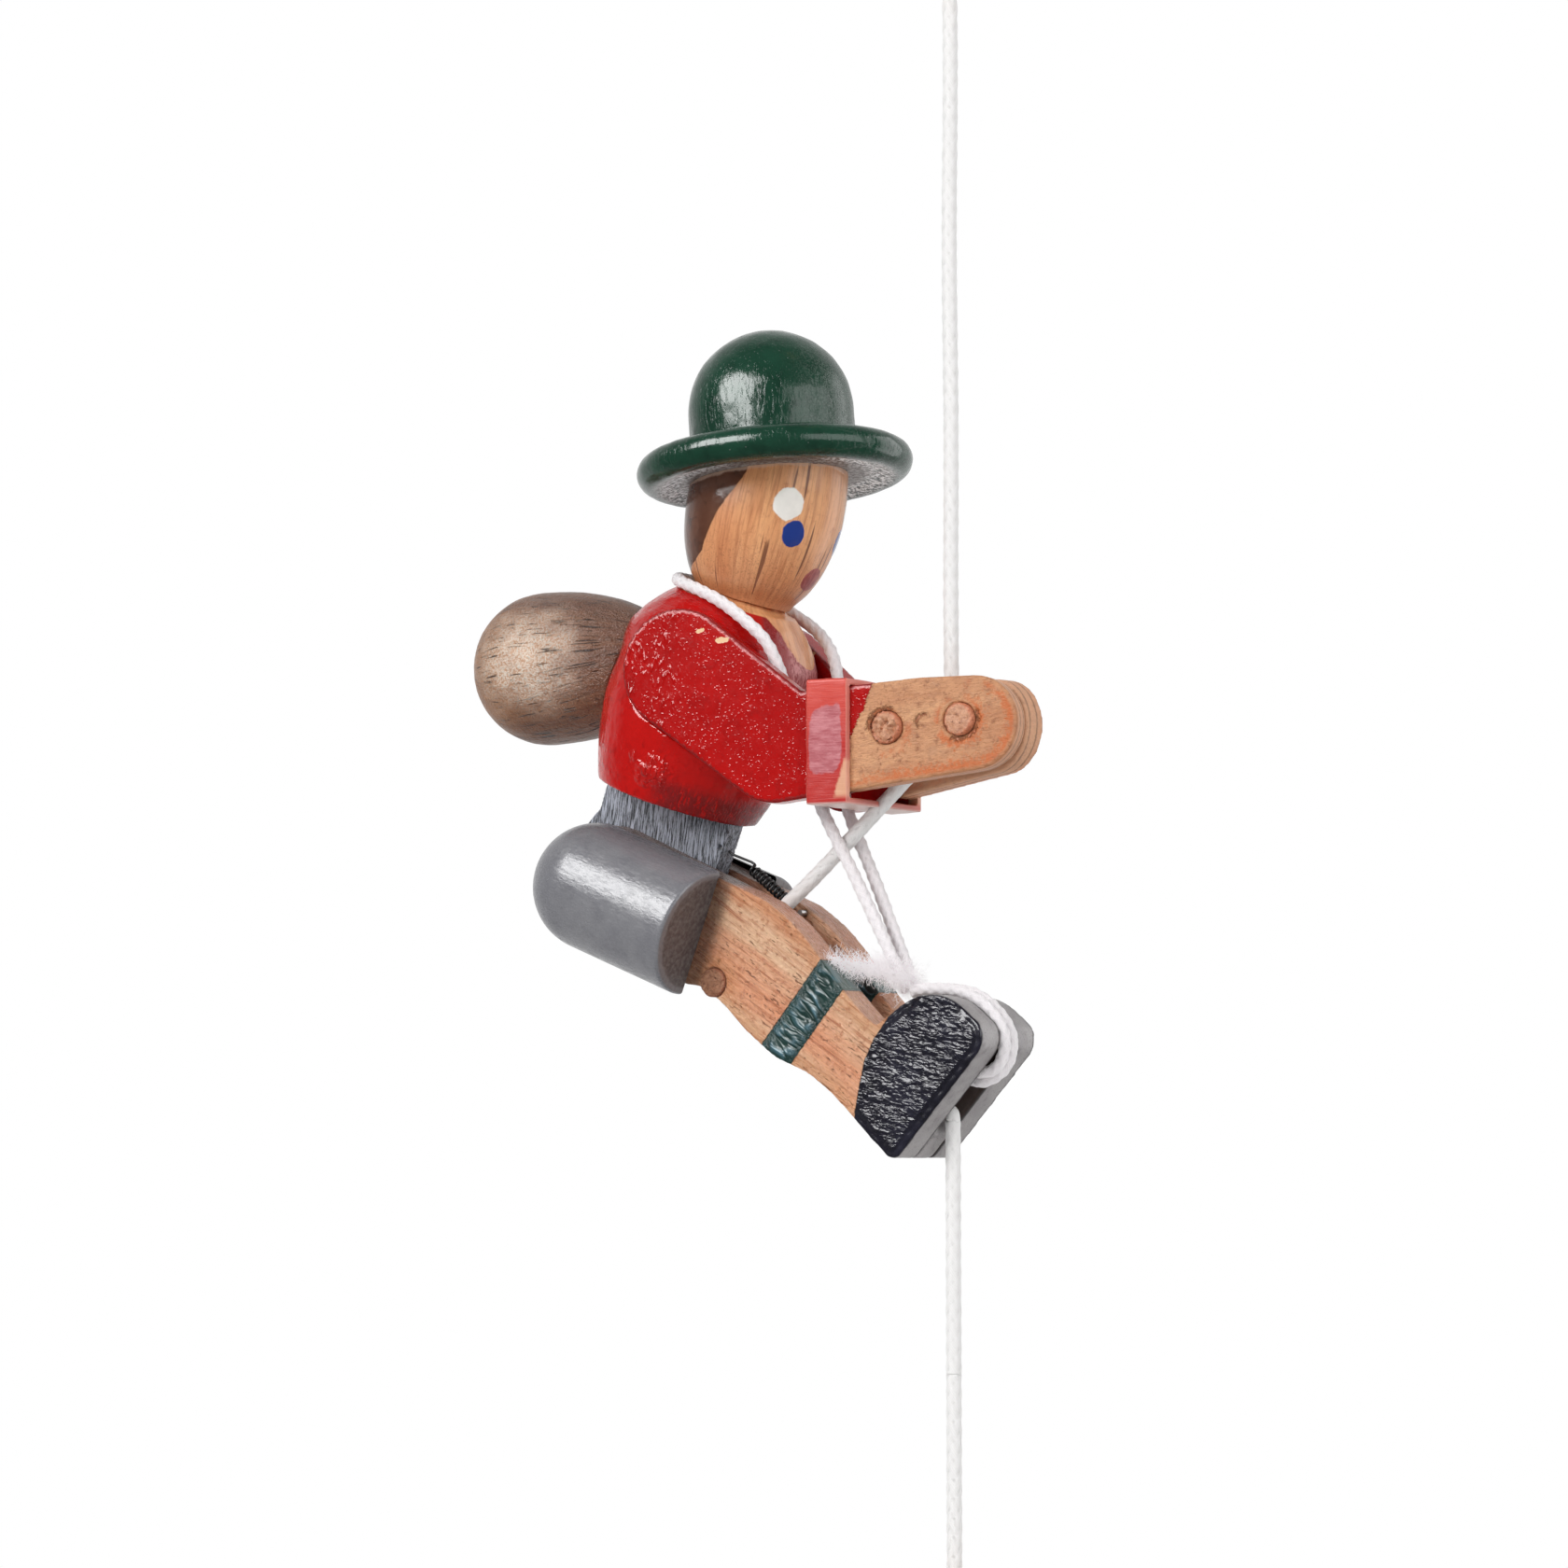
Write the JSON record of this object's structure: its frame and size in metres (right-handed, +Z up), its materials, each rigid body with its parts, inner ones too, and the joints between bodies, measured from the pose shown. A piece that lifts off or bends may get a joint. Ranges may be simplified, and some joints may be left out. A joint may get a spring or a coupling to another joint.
{
  "type": "climbing figure toy",
  "caption": "Wooden climber with a brimmed hat and backpack on a pull cord, hinged at the hips with a leg spring, so that pulling the cord makes it climb.",
  "frame": {"origin": "centre of the hook hole in the hang tab, where the toy hangs", "axes": "+Z up along the cord, +X the way the figure faces, +Y towards the figure's left hand, along the hook hole"},
  "size_m": [0.1098, 0.046, 0.3062],
  "materials": {
    "plain_wood": "sanded beech",
    "head_wood": "clear varnish",
    "leg_wood": "sanded beech, painted boots",
    "brown_stain": "stained and varnished",
    "green_lacquer": "gloss paint",
    "red_paint": "gloss paint",
    "grey_lacquer": "gloss paint",
    "dark_grey_paint": "brushed satin paint",
    "pink_rubber": "worn, glossy",
    "white_cord": "braided",
    "tie_cord": "braided, frayed at the knot",
    "steel": "plain",
    "spring_steel": "black oxide"
  },
  "bodies": {
    "line": {"hang_tab": "plain_wood", "top_knot": "white_cord", "upper_cord": "white_cord", "lower_cord": "white_cord", "pull_bead": "plain_wood", "bottom_knot": "white_cord"},
    "grip": {"grip_peg": "plain_wood"},
    "torso": {"hat": "green_lacquer", "hat_dowel": "plain_wood", "head": "head_wood", "neck_dowel": "plain_wood", "torso": "red_paint", "backpack": "brown_stain", "backpack_dowel": "plain_wood", "right_arm": "red_paint", "left_arm": "red_paint", "shoulder_dowel": "plain_wood", "guard_peg": "plain_wood", "wrist_band": "pink_rubber", "hip_tongue": "dark_grey_paint", "tongue_pin": "steel", "neck_loop": "tie_cord", "mid_cord": "white_cord", "leg_spring": "spring_steel", "near_tie": "tie_cord", "far_tie": "tie_cord"},
    "legs": {"hip_pin": "steel", "right_leg": "leg_wood", "left_leg": "leg_wood", "right_shorts": "grey_lacquer", "left_shorts": "grey_lacquer", "thigh_peg": "plain_wood", "boot_peg": "plain_wood", "heel_block": "dark_grey_paint", "spring_pin": "steel", "toe_wraps": "tie_cord", "tie_knot": "tie_cord"}
  },
  "joints": [
    {"name": "climb", "type": "slide", "parent": "line", "child": "grip", "axis": [0, 0, 1], "range_m": [-0.03, 0.06], "deforming": ["upper_cord", "lower_cord"]},
    {"name": "body_swing", "type": "hinge", "parent": "grip", "child": "torso", "pos_m": [-0.00705, 0, -0.1411], "axis": [0, 1, 0], "range_deg": [-24, 1]},
    {"name": "leg_kick", "type": "hinge", "parent": "torso", "child": "legs", "pos_m": [-0.06025, 0, -0.1645], "axis": [0, 1, 0], "range_deg": [0, 40], "stiffness_Nm_per_rad": 0.03, "springref_deg": -51.57, "deforming": ["mid_cord", "near_tie", "far_tie", "leg_spring"]}
  ],
  "couplings": [
    {"joint": "body_swing", "follows": "leg_kick", "ratio": -0.583}
  ]
}
